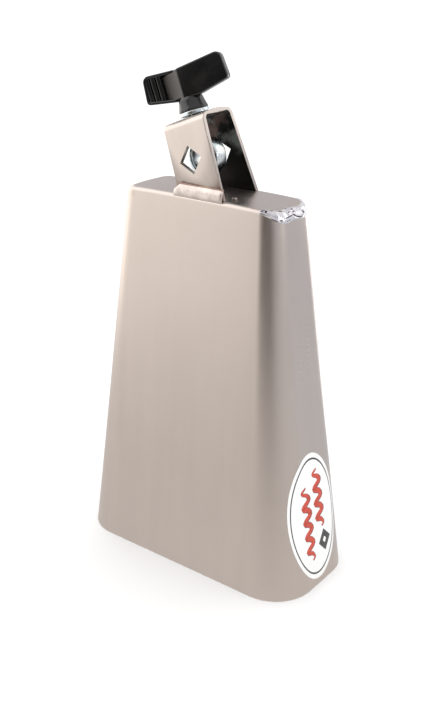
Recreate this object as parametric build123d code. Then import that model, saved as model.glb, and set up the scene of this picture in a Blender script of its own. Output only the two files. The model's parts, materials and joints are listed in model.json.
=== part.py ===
"""Mountable cowbell: folded steel bell, welded rod bracket, eye bolt and plastic wing nut.

Millimetres. The origin is the centre of the mouth, in the plane of its rim. +Z runs up the bell's
axis, +X is the bell's right-hand narrow side and -Y its front wide face.
"""

import os
from math import cos, radians, sin

from build123d import *

# Bell: a tapered box with rounded upright corners, folded from sheet.
BELL_HEIGHT = 203.0
MOUTH_WIDTH, MOUTH_DEPTH, MOUTH_CORNER = 146.0, 69.0, 23.0
CROWN_WIDTH, CROWN_DEPTH, CROWN_CORNER = 93.2, 32.0, 8.0
SHEET = 1.5
FOLD_RADIUS = 2 * SHEET
RIM_ROUND = 0.3

# Welds on the bell.
END_BEAD_HALF_WIDTH, END_BEAD_HALF_HEIGHT = 2.0, 4.3
END_BEAD_INSET = 0.8
END_BEAD_RISE = 0.8
SEAM_WIDTH = 2.6
SEAM_ROOT = 0.5

# Bracket: a U of strap over the crown, leaning towards the left-hand side. Heights run up the lean.
BRACKET_X = 2.9
BRACKET_LEAN = 20.7
CLAMP_OFFSET = -0.6
STRAP_WIDTH = 26.4
STRAP = 2.5
STRAP_FOOT = -12.0
FOOT_HALF_DEPTH = 14.5
SHOULDER_HALF_DEPTH = 11.9
SHOULDER_HEIGHT = 35.0
CREST_HEIGHT = 39.1
SHOULDER_RADIUS = 5.0
ELBOW_MIDDLE, ELBOW_END = (0.24, 0.48), (0.85, 0.69)
STRAP_EDGE_ROUND = 0.4
ROD_HOLE_SIDE = 10.0
ROD_HOLE_HEIGHT = 18.5
STEM_HOLE_RADIUS = 4.5
FOOT_BEAD_HEIGHT = 5.4
FOOT_BEAD_DROP = 1.6
FOOT_BEAD_OVERRUN = 0.9
FOOT_BEAD_SHIFT = -0.9
FOOT_BEAD_SWELL = 0.3
NUB_RADIUS = 1.35
NUB_X, NUB_Y = 18.4, -7.2

# Eye bolt: a ring on a threaded stem.
EYE_HEIGHT = 18.1
EYE_OUTER_RADIUS, EYE_HOLE_RADIUS = 9.5, 6.5
EYE_THICKNESS = 8.6
EYE_EDGE_ROUND, EYE_MOUTH_ROUND = 1.0, 0.6
EYE_NECK_RADIUS, EYE_NECK_TOP = 4.3, 29.5
STEM_RADIUS = 3.95
STEM_TOP = 52.0
STEM_CHAMFER = 0.8

# Washer and wing nut.
PLAY = 0.05
WASHER_RADIUS, WASHER_HOLE_RADIUS, WASHER_THICKNESS = 7.45, 4.25, 2.0
WASHER_ROUND = 0.35
NUT_BASE = CREST_HEIGHT + WASHER_THICKNESS + 2 * PLAY
HUB_BASE_RADIUS, HUB_NECK_RADIUS, HUB_TOP_RADIUS = 7.55, 6.5, 5.4
HUB_NECK_HEIGHT = 47.8
WING_YAW = 20.5
WING_HEEL, WING_SHOULDER, WING_REACH = -1.8, 7.0, 23.4
WING_ROOT_LOW, WING_ROOT_HIGH = 47.3, 62.3
WING_TIP_LOW, WING_TIP_HIGH = 49.8, 64.8
WING_TIP_RAKE = 1.2
WING_TIP_ROUND_LOW, WING_TIP_ROUND_HIGH = 1.8, 3.2
WING_FRONT, WING_BACK = -5.6, -0.5
WING_EDGE_ROUND = 0.8
RIB_GROOVES = (18.4, 15.2)
GROOVE_WIDTH, GROOVE_DEPTH = 0.9, 0.7
POCKET_START, POCKET_END = 5.2, 12.2
POCKET_RIM, POCKET_DEPTH = 1.4, 1.5
GUSSET_FOOT, GUSSET_SHY = 9.6, 0.3
EMBLEM_U, EMBLEM_RISE = 12.6, 1.8
EMBLEM_SIDE, EMBLEM_WIRE, EMBLEM_DOT, EMBLEM_RAISE = 6.6, 0.6, 1.8, 0.25
INSERT_RADIUS, INSERT_BORE_RADIUS, INSERT_LENGTH = 5.0, 4.05, 14.0
BLIND_BORE_TOP = 59.0

# Label on the right-hand side, low down, wrapped onto both corners.
LABEL_THICKNESS = 0.15
LABEL_GAP = 0.02
LABEL_CENTRE_Y, LABEL_CENTRE_Z = -2.3, 39.9
LABEL_HALF_DEPTH, LABEL_HALF_HEIGHT = 20.0, 36.2


def bell_size(z, inset=0.0):
    """Width, depth and corner radius of the bell's outside at height z, taken in by inset."""
    share = z / BELL_HEIGHT
    width = MOUTH_WIDTH + (CROWN_WIDTH - MOUTH_WIDTH) * share
    depth = MOUTH_DEPTH + (CROWN_DEPTH - MOUTH_DEPTH) * share
    corner = MOUTH_CORNER + (CROWN_CORNER - MOUTH_CORNER) * share
    return width - 2 * inset, depth - 2 * inset, corner - inset


def bell_block(z_low, z_high, inset=0.0):
    """The solid tapered block between two heights of the bell."""
    ends = [Pos(0, 0, z) * RectangleRounded(*bell_size(z, inset)) for z in (z_low, z_high)]
    return loft(ends, ruled=True)


def circles(shape, radius):
    """The circular edges of a shape that have the given radius."""
    rings = shape.edges().filter_by(GeomType.CIRCLE)
    return rings.filter_by(lambda edge: abs(edge.radius - radius) < 0.01)


def round_top(block, radius):
    return fillet(block.faces().sort_by(Axis.Z)[-1].edges(), radius)


def end_weld(side):
    """Bead that closes one narrow end of the crown; side is +1 for the right and -1 for the left."""
    z = BELL_HEIGHT + END_BEAD_RISE - END_BEAD_HALF_HEIGHT
    width, depth, corner = bell_size(z, END_BEAD_INSET)
    centre_x, centre_y = side * (width / 2 - corner), depth / 2 - corner
    reach = side * width / 2
    front, back = (centre_x, -depth / 2, z), (centre_x, depth / 2, z)
    bend_x = centre_x + side * corner * sin(radians(45))
    bend_y = centre_y + corner * sin(radians(45))
    path = Wire(
        [
            ThreePointArc(front, (bend_x, -bend_y, z), (reach, -centre_y, z)),
            Line((reach, -centre_y, z), (reach, centre_y, z)),
            ThreePointArc((reach, centre_y, z), (bend_x, bend_y, z), back),
        ]
    )
    section = SlotOverall(2 * END_BEAD_HALF_HEIGHT, 2 * END_BEAD_HALF_WIDTH, rotation=90)
    across_path = Plane(origin=front, x_dir=(0, 1, 0), z_dir=(side, 0, 0))
    bead = sweep(across_path * section, path=path)
    outer_half = section & Pos(END_BEAD_HALF_HEIGHT, 0) * Rectangle(
        2 * END_BEAD_HALF_HEIGHT, 2 * END_BEAD_HALF_HEIGHT
    )
    tip = revolve(Plane.XZ * outer_half, Axis.Z)
    return bead + Pos(*front) * tip + Pos(*back) * tip


def side_seam():
    """Butt weld down the middle of the left-hand side, dressed flush outside."""
    top = BELL_HEIGHT + END_BEAD_RISE - 2 * END_BEAD_HALF_HEIGHT
    outside_low, outside_high = -bell_size(0)[0] / 2, -bell_size(top)[0] / 2
    through = SHEET + SEAM_ROOT
    outline = Polyline(
        (outside_low, 0),
        (outside_high, top),
        (outside_high + through, top),
        (outside_low + through, 0),
        close=True,
    )
    return extrude(Plane.XZ * make_face(outline), SEAM_WIDTH / 2, both=True)


def bell_shell(welds):
    outside = round_top(bell_block(0, BELL_HEIGHT), FOLD_RADIUS)
    hollow = round_top(bell_block(-1, BELL_HEIGHT - SHEET, SHEET), FOLD_RADIUS - SHEET)
    shell = outside - hollow
    shell = fillet(shell.edges().group_by(Axis.Z)[0], RIM_ROUND)
    for weld in welds:
        shell -= weld
    return shell


def on_bracket(shape, offset=0.0):
    """Places a shape made about an upright centre line onto the lean of the bracket."""
    return Pos(BRACKET_X, 0, BELL_HEIGHT) * Rot(0, -BRACKET_LEAN, 0) * Pos(offset, 0, 0) * shape


def on_clamp(shape):
    """Places a shape made about the clamp's axis, which is a little off the strap's middle."""
    return on_bracket(shape, CLAMP_OFFSET)


def strap_profile(inset):
    """Outline of the U across the strap, from below one foot, over the crest, to the other."""
    flare = (FOOT_HALF_DEPTH - SHOULDER_HALF_DEPTH) / SHOULDER_HEIGHT
    foot = FOOT_HALF_DEPTH - STRAP_FOOT * flare - inset
    shoulder = SHOULDER_HALF_DEPTH - inset
    bend = SHOULDER_RADIUS - inset
    elbow = [(bend * y - shoulder, SHOULDER_HEIGHT + bend * z) for y, z in (ELBOW_MIDDLE, ELBOW_END)]
    left = Polyline((-foot, STRAP_FOOT), (-shoulder, SHOULDER_HEIGHT))
    left_elbow = ThreePointArc((-shoulder, SHOULDER_HEIGHT), *elbow)
    side, height = elbow[1]
    crest = ThreePointArc((side, height), (0, CREST_HEIGHT - inset), (-side, height))
    base = Line((foot, STRAP_FOOT), (-foot, STRAP_FOOT))
    halves = [left, left_elbow, mirror(left_elbow, Plane.YZ), mirror(left, Plane.YZ)]
    return make_face(Curve() + [*halves, crest, base])


def across(face, half_width):
    """Extrudes a face drawn in (Y, Z) both ways along X."""
    return extrude(Plane.YZ * face, half_width, both=True)


def mounting_bracket():
    strap = across(strap_profile(0), STRAP_WIDTH / 2) - across(strap_profile(STRAP), STRAP_WIDTH)
    rims = strap.edges().filter_by(lambda e: abs(abs(e.center().X) - STRAP_WIDTH / 2) < 0.01)
    strap = fillet(rims.filter_by(lambda e: e.center().Z > STRAP_FOOT + 0.1), STRAP_EDGE_ROUND)
    rod_hole = Pos(0, 0, ROD_HOLE_HEIGHT) * Rot(90, 0, 0) * Rot(0, 0, 45) * Box(
        ROD_HOLE_SIDE, ROD_HOLE_SIDE, 4 * FOOT_HALF_DEPTH
    )
    stem_hole = Pos(0, 0, CREST_HEIGHT) * Cylinder(STEM_HOLE_RADIUS, 4 * STRAP)
    strap = on_bracket(strap) - on_clamp(rod_hole) - on_clamp(stem_hole)
    above_crown = Pos(0, 0, BELL_HEIGHT + CREST_HEIGHT) * Box(BELL_HEIGHT, BELL_HEIGHT, 2 * CREST_HEIGHT)
    return strap & above_crown


def foot_weld(side, bracket, shell):
    """Fillet bead along one foot of the bracket; side is -1 for the front and +1 for the back."""
    y_leg, y_face = side * (FOOT_HALF_DEPTH - 1.0), side * (CROWN_DEPTH / 2 + FOOT_BEAD_SWELL)
    top, bottom = BELL_HEIGHT + FOOT_BEAD_HEIGHT, BELL_HEIGHT - FOOT_BEAD_DROP
    swell_height = BELL_HEIGHT + FOOT_BEAD_HEIGHT * 0.4
    section = make_face(
        [
            Line((y_leg, bottom), (y_leg, top)),
            ThreePointArc((y_leg, top), (y_face, swell_height), (y_face - side * 0.1, bottom)),
            Line((y_face - side * 0.1, bottom), (y_leg, bottom)),
        ]
    )
    reach = STRAP_WIDTH / 2 / cos(radians(BRACKET_LEAN)) + FOOT_BEAD_OVERRUN
    bar = Pos(BRACKET_X + FOOT_BEAD_SHIFT, 0, 0) * across(section, reach)
    bead = bar - bracket - shell
    return bead.solids().sort_by(SortBy.VOLUME)[-1]


def weld_nub():
    """Drop of weld metal on the crown, beside the front foot."""
    drop = Pos(NUB_X, NUB_Y, BELL_HEIGHT + 0.15 * NUB_RADIUS) * Sphere(NUB_RADIUS)
    above_crown = Pos(NUB_X, NUB_Y, BELL_HEIGHT + 2 * NUB_RADIUS) * Box(*[4 * NUB_RADIUS] * 3)
    return drop & above_crown


def eye_bolt():
    ring = Rot(90, 0, 0) * Cylinder(EYE_OUTER_RADIUS, EYE_THICKNESS)
    ring = fillet(ring.edges().filter_by(GeomType.CIRCLE), EYE_EDGE_ROUND)
    ring = Pos(0, 0, EYE_HEIGHT) * ring
    neck_low = EYE_HEIGHT + EYE_HOLE_RADIUS
    neck_height = EYE_NECK_TOP - neck_low
    neck = Pos(0, 0, neck_low + neck_height / 2) * Cone(EYE_NECK_RADIUS, STEM_RADIUS, neck_height)
    stem_length = STEM_TOP - EYE_NECK_TOP + 1
    stem = Pos(0, 0, STEM_TOP - stem_length / 2) * Cylinder(STEM_RADIUS, stem_length)
    stem = chamfer(stem.edges().sort_by(Axis.Z)[-1], STEM_CHAMFER)
    hole = Pos(0, 0, EYE_HEIGHT) * Rot(90, 0, 0) * Cylinder(EYE_HOLE_RADIUS, 2 * EYE_THICKNESS)
    bolt = ring + neck + stem - hole
    return on_clamp(fillet(circles(bolt, EYE_HOLE_RADIUS), EYE_MOUTH_ROUND))


def flat_washer():
    height = CREST_HEIGHT + PLAY + WASHER_THICKNESS / 2
    disc = Cylinder(WASHER_RADIUS, WASHER_THICKNESS) - Cylinder(WASHER_HOLE_RADIUS, 2 * WASHER_THICKNESS)
    rims = circles(disc, WASHER_RADIUS)
    return on_clamp(Pos(0, 0, height) * fillet(rims, WASHER_ROUND))


def wing_side_view():
    """One wing seen square to its face, from the axis out to its rounded tip."""
    low_tip = (WING_REACH, WING_TIP_LOW + 0.5)
    high_tip = (WING_REACH - WING_TIP_RAKE, WING_TIP_HIGH)
    outline = Polyline(
        (WING_HEEL, WING_ROOT_LOW),
        (WING_SHOULDER, WING_ROOT_LOW),
        low_tip,
        high_tip,
        (WING_HEEL, WING_ROOT_HIGH),
        close=True,
    )
    face = make_face(outline)
    tips = face.vertices().filter_by(lambda v: v.X > WING_SHOULDER + 1).sort_by(Axis.Y)
    face = fillet(tips[0], WING_TIP_ROUND_LOW)
    return fillet(face.vertices().sort_by_distance(high_tip)[0], WING_TIP_ROUND_HIGH)


def wing_gusset():
    """Sloping thumb rest from the other wing's heel down to the floor of this wing's pocket."""
    heel = -WING_FRONT - GUSSET_SHY
    slope = Polyline(
        (0, WING_BACK - 1),
        (0, heel),
        (-WING_HEEL, heel),
        (GUSSET_FOOT, WING_BACK - POCKET_DEPTH),
        close=True,
    )
    bottom, top = WING_ROOT_LOW + POCKET_RIM, WING_ROOT_HIGH - POCKET_RIM
    return Pos(0, 0, bottom) * extrude(make_face(slope), top - bottom)


def wing():
    """One wing of the nut, reaching along +X with its smooth face towards -Y."""
    thickness = WING_BACK - WING_FRONT
    blade = extrude(Plane.XZ * wing_side_view(), thickness)
    blade = Pos(0, WING_BACK, 0) * blade
    blade = fillet(blade.edges().filter_by(lambda e: e.center().X > WING_HEEL + 0.1), WING_EDGE_ROUND)
    middle = (WING_ROOT_LOW + WING_TIP_HIGH) / 2
    for u in RIB_GROOVES:
        groove = Rot(0, 0, 45) * Box(GROOVE_WIDTH, GROOVE_WIDTH, 40)
        blade -= Pos(u, WING_BACK + 0.1, middle) * groove
    pocket = make_face(
        Polyline(
            (POCKET_START, WING_ROOT_LOW + POCKET_RIM),
            (WING_SHOULDER, WING_ROOT_LOW + POCKET_RIM),
            (POCKET_END, WING_ROOT_LOW + POCKET_RIM + 1.0),
            (POCKET_END, WING_TIP_HIGH - 1.0 - POCKET_RIM),
            (POCKET_START, WING_ROOT_HIGH + 0.7 - POCKET_RIM),
            close=True,
        )
    )
    blade -= Pos(0, WING_BACK + 1, 0) * extrude(Plane.XZ * pocket, POCKET_DEPTH + 1)
    blade += wing_gusset()
    emblem_height = (WING_ROOT_LOW + WING_ROOT_HIGH) / 2 + EMBLEM_RISE
    inner_side = EMBLEM_SIDE - 2 * EMBLEM_WIRE
    frame = Rectangle(EMBLEM_SIDE, EMBLEM_SIDE) - Rectangle(inner_side, inner_side)
    badge = extrude(frame + Rectangle(EMBLEM_DOT, EMBLEM_DOT), EMBLEM_RAISE, both=True)
    return blade + Pos(EMBLEM_U, WING_FRONT, emblem_height) * Rot(90, 0, 0) * Rot(0, 0, 45) * badge


def wing_nut():
    hub_outline = Polyline(
        (0, NUT_BASE),
        (HUB_BASE_RADIUS, NUT_BASE),
        (HUB_NECK_RADIUS, HUB_NECK_HEIGHT),
        (HUB_TOP_RADIUS, WING_ROOT_HIGH),
        (0, WING_ROOT_HIGH),
        close=True,
    )
    hub = revolve(Plane.XZ * make_face(hub_outline), Axis.Z)
    right = wing()
    nut = hub + right + Rot(0, 0, 180) * right
    seat = Pos(0, 0, NUT_BASE + INSERT_LENGTH / 2) * Cylinder(INSERT_RADIUS, INSERT_LENGTH)
    bore_height = BLIND_BORE_TOP - NUT_BASE
    bore = Pos(0, 0, NUT_BASE + bore_height / 2) * Cylinder(INSERT_BORE_RADIUS, bore_height)
    return on_clamp(Rot(0, 0, WING_YAW) * (nut - seat - bore))


def thread_insert():
    sleeve = Cylinder(INSERT_RADIUS, INSERT_LENGTH) - Cylinder(INSERT_BORE_RADIUS, 2 * INSERT_LENGTH)
    return on_clamp(Pos(0, 0, NUT_BASE + INSERT_LENGTH / 2) * sleeve)


def oval_label():
    """Thin oval sticker that follows the bell's outside."""
    low = LABEL_CENTRE_Z - LABEL_HALF_HEIGHT - 3
    high = LABEL_CENTRE_Z + LABEL_HALF_HEIGHT + 3
    skin = bell_block(low, high, -LABEL_GAP - LABEL_THICKNESS) - bell_block(low - 1, high + 1, -LABEL_GAP)
    oval = Pos(0, LABEL_CENTRE_Y, LABEL_CENTRE_Z) * Rot(0, 90, 0) * extrude(
        Ellipse(LABEL_HALF_HEIGHT, LABEL_HALF_DEPTH), MOUTH_WIDTH
    )
    return skin & oval


def main():
    welds = {
        "right_end_weld": end_weld(1),
        "left_end_weld": end_weld(-1),
        "left_side_seam_weld": side_seam(),
    }
    shell = bell_shell(welds.values())
    bracket = mounting_bracket()
    nodes = {
        "bell_shell": shell,
        **welds,
        "mounting_bracket": bracket,
        "front_bracket_weld": foot_weld(-1, bracket, shell),
        "back_bracket_weld": foot_weld(1, bracket, shell),
        "weld_nub": weld_nub(),
        "eye_bolt": eye_bolt(),
        "flat_washer": flat_washer(),
        "wing_nut": wing_nut(),
        "thread_insert": thread_insert(),
        "oval_label": oval_label(),
    }
    os.makedirs("parts", exist_ok=True)
    for name, shape in nodes.items():
        export_step(shape, f"parts/{name}.step")


main()
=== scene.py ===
import json
from math import atan, atan2, ceil, copysign, cos, pi, radians, sin, tan

import bmesh
import bpy
from mathutils import Matrix, Vector, noise


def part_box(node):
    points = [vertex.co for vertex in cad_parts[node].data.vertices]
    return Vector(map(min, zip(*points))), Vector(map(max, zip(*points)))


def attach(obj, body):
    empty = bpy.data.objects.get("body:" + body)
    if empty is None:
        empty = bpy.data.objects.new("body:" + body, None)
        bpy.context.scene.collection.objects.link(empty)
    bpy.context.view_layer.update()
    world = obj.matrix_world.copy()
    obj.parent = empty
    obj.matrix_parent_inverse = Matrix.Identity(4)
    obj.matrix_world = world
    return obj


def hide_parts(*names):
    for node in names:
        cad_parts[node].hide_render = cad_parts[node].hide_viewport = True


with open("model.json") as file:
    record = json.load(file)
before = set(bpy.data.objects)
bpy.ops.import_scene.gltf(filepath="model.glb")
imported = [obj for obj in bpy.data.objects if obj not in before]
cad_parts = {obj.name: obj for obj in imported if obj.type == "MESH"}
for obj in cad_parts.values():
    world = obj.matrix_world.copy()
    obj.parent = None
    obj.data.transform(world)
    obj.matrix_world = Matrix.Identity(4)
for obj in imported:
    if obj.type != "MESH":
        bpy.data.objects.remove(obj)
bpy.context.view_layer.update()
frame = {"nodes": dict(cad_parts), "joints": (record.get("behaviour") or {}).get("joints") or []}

MM = 0.001
UP = Vector((0, 0, 1))

# The bell's outside. The mouth and the height are the CAD shell's own box.
shell_low, shell_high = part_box("bell_shell")
HEIGHT = shell_high.z
MOUTH = (shell_high.x, shell_high.y, 23 * MM)
CROWN = (46.6 * MM, 16 * MM, 8 * MM)
SHEET = 1.5 * MM
FACE_FOLD, END_FOLD = 2.4 * MM, 7.4 * MM
END_BOW, END_DROP = 2.4 * MM, 0.8 * MM
RIM_ROUND = 0.35 * MM
STRAIGHT_STEPS, CORNER_STEPS, WALL_STEPS, FOLD_STEPS = 14, 14, 20, 9

# The clamp's axis leans with the bracket: the wing nut's joint gives it.
nut_joint = next(j for j in frame["joints"] if j["child"] == "wing_nut")
clamp_up = Vector(nut_joint["axis"])
crown_centre = Vector(nut_joint["pos_m"])
crown_centre -= clamp_up * ((crown_centre.z - HEIGHT) / clamp_up.z)
CLAMP = Matrix.Translation(crown_centre) @ UP.rotation_difference(clamp_up).to_matrix().to_4x4()


def mix(a, b, share):
    return a + (b - a) * share


def ease(share):
    share = min(max(share, 0), 1)
    return share * share * (3 - 2 * share)


# ---------------------------------------------------------------- shader tools


class Field:
    """One shader value. Sums on fields add the Math nodes that work them out."""

    def __init__(self, finish, socket):
        self.finish = finish
        self.socket = socket

    def maths(self, operation, *values):
        return self.finish.node("ShaderNodeMath", {"operation": operation}, dict(enumerate(values)))

    def __add__(self, other):
        return self.maths("ADD", self, other)

    def __sub__(self, other):
        return self.maths("SUBTRACT", self, other)

    def __rsub__(self, other):
        return self.maths("SUBTRACT", other, self)

    def __mul__(self, other):
        return self.maths("MULTIPLY", self, other)

    def __truediv__(self, other):
        return self.maths("DIVIDE", self, other)

    __radd__ = __add__
    __rmul__ = __mul__


class Finish:
    """A material that is built up node by node."""

    def __init__(self, name, constants):
        self.material = bpy.data.materials.new(name)
        self.material.use_nodes = True
        self.tree = self.material.node_tree
        self.shader = self.tree.nodes["Principled BSDF"]
        for socket, value in constants.items():
            self.shader.inputs[socket].default_value = value

    def node(self, kind, settings, inputs, output=0):
        made = self.tree.nodes.new(kind)
        for name, value in settings.items():
            if name == "stops":
                ramp = made.color_ramp.elements
                while len(ramp) < len(value):
                    ramp.new(1.0)
                for stop, (place, colour) in zip(ramp, value):
                    stop.position = place
                    stop.color = (*colour, 1)
            else:
                setattr(made, name, value)
        for name, value in inputs.items():
            self.feed(made.inputs[name], value)
        return Field(self, made.outputs[output])

    def feed(self, socket, value):
        if isinstance(value, Field):
            self.tree.links.new(value.socket, socket)
        else:
            socket.default_value = value

    def set(self, socket, value):
        self.feed(self.shader.inputs[socket], value)

    def place(self, scale=(1, 1, 1), turn=(0, 0, 0)):
        """Object coordinates in metres, turned and then scaled."""
        here = self.node("ShaderNodeTexCoord", {}, {}, "Object")
        turned = self.node("ShaderNodeMapping", {}, {"Vector": here, "Rotation": turn})
        return self.node("ShaderNodeMapping", {}, {"Vector": turned, "Scale": scale})

    def cloud(self, place, scale, detail=3.0, roughness=0.5):
        inputs = {"Vector": place, "Scale": scale, "Detail": detail, "Roughness": roughness}
        return self.node("ShaderNodeTexNoise", {}, inputs)

    def between(self, value, low, high, start=0.0, end=1.0):
        """value's run from low to high, stretched to the run from start to end and held there."""
        inputs = {0: value, 1: low, 2: high, 3: start, 4: end}
        return self.node("ShaderNodeMapRange", {"interpolation_type": "SMOOTHSTEP"}, inputs)

    def blend(self, share, first, second):
        return self.node("ShaderNodeMix", {"data_type": "RGBA"}, {0: share, 6: first, 7: second}, 2)

    def bump(self, height, depth):
        return self.node("ShaderNodeBump", {}, {"Height": height, "Strength": 1.0, "Distance": depth})

    def along(self, axis):
        """One object coordinate, in metres: 0, 1 or 2 for x, y or z."""
        here = self.node("ShaderNodeTexCoord", {}, {}, "Object")
        return self.node("ShaderNodeSeparateXYZ", {}, {0: here}, axis)

    def painted(self, name):
        """A value that was stored on the piece's own points."""
        return self.node("ShaderNodeAttribute", {"attribute_name": name}, {}, "Fac")


def colour(r, g, b):
    return (r, g, b, 1)


GRAIN_DEPTH = 0.008 * MM


def brushed(name, light, dark, grain, roughness, turn=(0, 0, 0), heat=None):
    """Satin steel with fine straight grain; heat is the (low, high) height where welding tinted it."""
    finish = Finish(name, {"Metallic": 1.0})
    lines = finish.cloud(finish.place(grain, turn), 1.0, 4.0, 0.65)
    bands = finish.cloud(finish.place([0.12 * g for g in grain], turn), 1.0, 2.0)
    cloudy = finish.cloud(finish.place(), 22.0, 3.0)
    tone = lines * 0.2 + bands * 0.45 + cloudy * 0.35
    base = finish.blend(finish.between(tone, 0.3, 0.7), colour(*dark), colour(*light))
    if heat:
        rise = finish.between(finish.along(2) + (cloudy - 0.5) * 0.008, *heat)
        scorched = finish.cloud(finish.place(), 260.0, 2.0)
        share = rise * finish.between(scorched, 0.4, 0.7) * 0.12
        base = finish.blend(share, base, colour(0.20, 0.13, 0.10))
    finish.set("Base Color", base)
    shine = lines * 0.5 + bands * 0.5
    finish.set("Roughness", finish.between(shine, 0.3, 0.7, roughness - 0.03, roughness + 0.05))
    finish.set("Normal", finish.bump(lines, GRAIN_DEPTH))
    return finish.material


# Heights between which the strap's black, scale deepened as painted shade, gives way to rubbed metal.
RUBBED = (0.220, 0.229)


def mill_scale_and_shade(name):
    """Hot-rolled strap left black, darkened further as painted shade inside the bracket; towards the bend
    the scale is rubbed brown and grey.
    """
    finish = Finish(name, {"Metallic": 0.6})
    patches = finish.cloud(finish.place(), 130.0, 4.0, 0.6)
    hue = finish.cloud(finish.place(), 90.0, 2.0)
    height = finish.between(finish.along(2) + (hue - 0.5) * 0.02, *RUBBED)
    # Near-black: the scale, darker than scale alone as painted shade inside the bracket.
    black = colour(0.004, 0.0036, 0.0034)
    brown, grey = colour(0.13, 0.085, 0.072), colour(0.17, 0.18, 0.165)
    rubbed = finish.blend(finish.between(hue, 0.44, 0.56), brown, grey)
    share = finish.between(patches, 0.36, 0.62) * height
    finish.set("Base Color", finish.blend(share, black, rubbed))
    finish.set("Roughness", finish.between(patches, 0.35, 0.7, 0.36, 0.55))
    finish.set("Normal", finish.bump(patches, 0.05 * MM))
    return finish.material


def weld_metal(name, bright, dull, burnt, blued, hold, roughness):
    """As-welded steel. The bead's stored edge value and hold say how far its rim is dark: burnt, and on the
    foot welds also painted undercut shadow.
    """
    finish = Finish(name, {"Metallic": 1.0})
    spots = finish.cloud(finish.place(), 480.0, 3.0, 0.6)
    wide = finish.cloud(finish.place(), 170.0, 2.0)
    clean = finish.blend(finish.between(wide, 0.42, 0.58), colour(*bright), colour(*dull))
    scorched = finish.blend(finish.between(wide, 0.42, 0.58), colour(*burnt), colour(*blued))
    reach = finish.painted("edge") + (wide - 0.5) * 0.5
    finish.set("Base Color", finish.blend(finish.between(reach, hold, hold + 0.25), clean, scorched))
    finish.set("Roughness", finish.between(spots, 0.3, 0.7, roughness, roughness + 0.16))
    finish.set("Normal", finish.bump(spots, 0.035 * MM))
    return finish.material


def zinc_plate(name):
    """Bright zinc with a faint blue cast."""
    finish = Finish(name, {"Metallic": 1.0})
    stain = finish.cloud(finish.place(), 180.0, 3.0)
    scratch = finish.cloud(finish.place((900, 900, 140)), 1.0, 3.0)
    blue, warm = colour(0.66, 0.76, 0.80), colour(0.80, 0.80, 0.76)
    finish.set("Base Color", finish.blend(finish.between(stain, 0.4, 0.62), blue, warm))
    finish.set("Roughness", finish.between(scratch, 0.35, 0.7, 0.16, 0.32))
    finish.set("Normal", finish.bump(scratch, 0.02 * MM))
    return finish.material


def black_plastic(name):
    """Gloss black moulding, very slightly orange-peeled, with dull rubbed patches."""
    finish = Finish(name, {"Specular IOR Level": 0.7})
    peel = finish.cloud(finish.place(), 420.0, 2.0)
    rubbed = finish.cloud(finish.place(), 90.0, 4.0, 0.6)
    clean, dusty = colour(0.003, 0.003, 0.0032), colour(0.006, 0.0058, 0.0056)
    finish.set("Base Color", finish.blend(finish.between(rubbed, 0.4, 0.7), clean, dusty))
    finish.set("Roughness", finish.between(rubbed, 0.4, 0.75, 0.14, 0.27))
    finish.set("Normal", finish.bump(peel, 0.015 * MM))
    return finish.material


def print_finish(name, ink, worn, roughness):
    """Printed vinyl: a clear gloss film over ink that is a little uneven."""
    finish = Finish(name, {"Coat Weight": 0.3, "Coat Roughness": 0.12})
    uneven = finish.cloud(finish.place(), 350.0, 3.0)
    finish.set("Base Color", finish.blend(finish.between(uneven, 0.35, 0.7), colour(*ink), colour(*worn)))
    finish.set("Roughness", finish.between(uneven, 0.3, 0.7, roughness, roughness + 0.08))
    finish.set("Normal", finish.bump(uneven, 0.01 * MM))
    return finish.material


def floor_finish(name):
    finish = Finish(name, {"Roughness": 0.9, "Specular IOR Level": 0.0})
    soft = finish.cloud(finish.place(), 3.0)
    finish.set("Base Color", finish.blend(soft, colour(0.93, 0.93, 0.93), colour(0.90, 0.90, 0.90)))
    return finish.material


STRAP_TURN = (0, atan2(-clamp_up.x, clamp_up.z), 0)
STRAP_HEAT = (0.219, 0.205)
WALL_STEEL = brushed(
    "bell wall, brushed upright", (0.625, 0.550, 0.500), (0.585, 0.512, 0.465), (900, 900, 9), 0.36
)
CROWN_STEEL = brushed(
    "bell crown, brushed along", (0.60, 0.53, 0.49), (0.54, 0.475, 0.44), (12, 800, 800), 0.33
)
INNER_STEEL = brushed("bell inside, dull", (0.40, 0.37, 0.35), (0.28, 0.26, 0.245), (500, 500, 20), 0.5)
STRAP_STEEL = brushed(
    "bracket strap, satin",
    (0.64, 0.565, 0.515),
    (0.56, 0.49, 0.445),
    (700, 700, 14),
    0.32,
    STRAP_TURN,
    STRAP_HEAT,
)
# Black for the bracket's inside: scale, and painted shade.
SCALE_AND_SHADE_STEEL = mill_scale_and_shade("bracket inside, black scale and painted shade")
BRIGHT_WELD = weld_metal(
    "end weld, bright and blued",
    bright=(0.88, 0.85, 0.86),
    dull=(0.70, 0.67, 0.70),
    burnt=(0.05, 0.03, 0.035),
    blued=(0.02, 0.013, 0.035),
    hold=0.42,
    roughness=0.16,
)
# The foot welds' upper rim is darkened brown: heat tint, and painted shadow of the undercut.
WARM_WELD_AND_UNDERCUT_SHADE = weld_metal(
    "foot weld, warm, rim painted with undercut shade",
    bright=(0.66, 0.59, 0.545),
    dull=(0.57, 0.50, 0.46),
    burnt=(0.30, 0.20, 0.155),
    blued=(0.22, 0.15, 0.13),
    hold=0.45,
    roughness=0.24,
)
SPOT_WELD = weld_metal(
    "spatter, burnt",
    bright=(0.42, 0.36, 0.34),
    dull=(0.24, 0.2, 0.2),
    burnt=(0.1, 0.06, 0.05),
    blued=(0.06, 0.04, 0.07),
    hold=0.45,
    roughness=0.2,
)
DRESSED_WELD = brushed(
    "dressed weld, ground flush", (0.63, 0.555, 0.505), (0.52, 0.455, 0.415), (300, 300, 60), 0.34
)
ZINC = zinc_plate("bright zinc plate")
BLACK = black_plastic("black gloss moulding")
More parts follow.
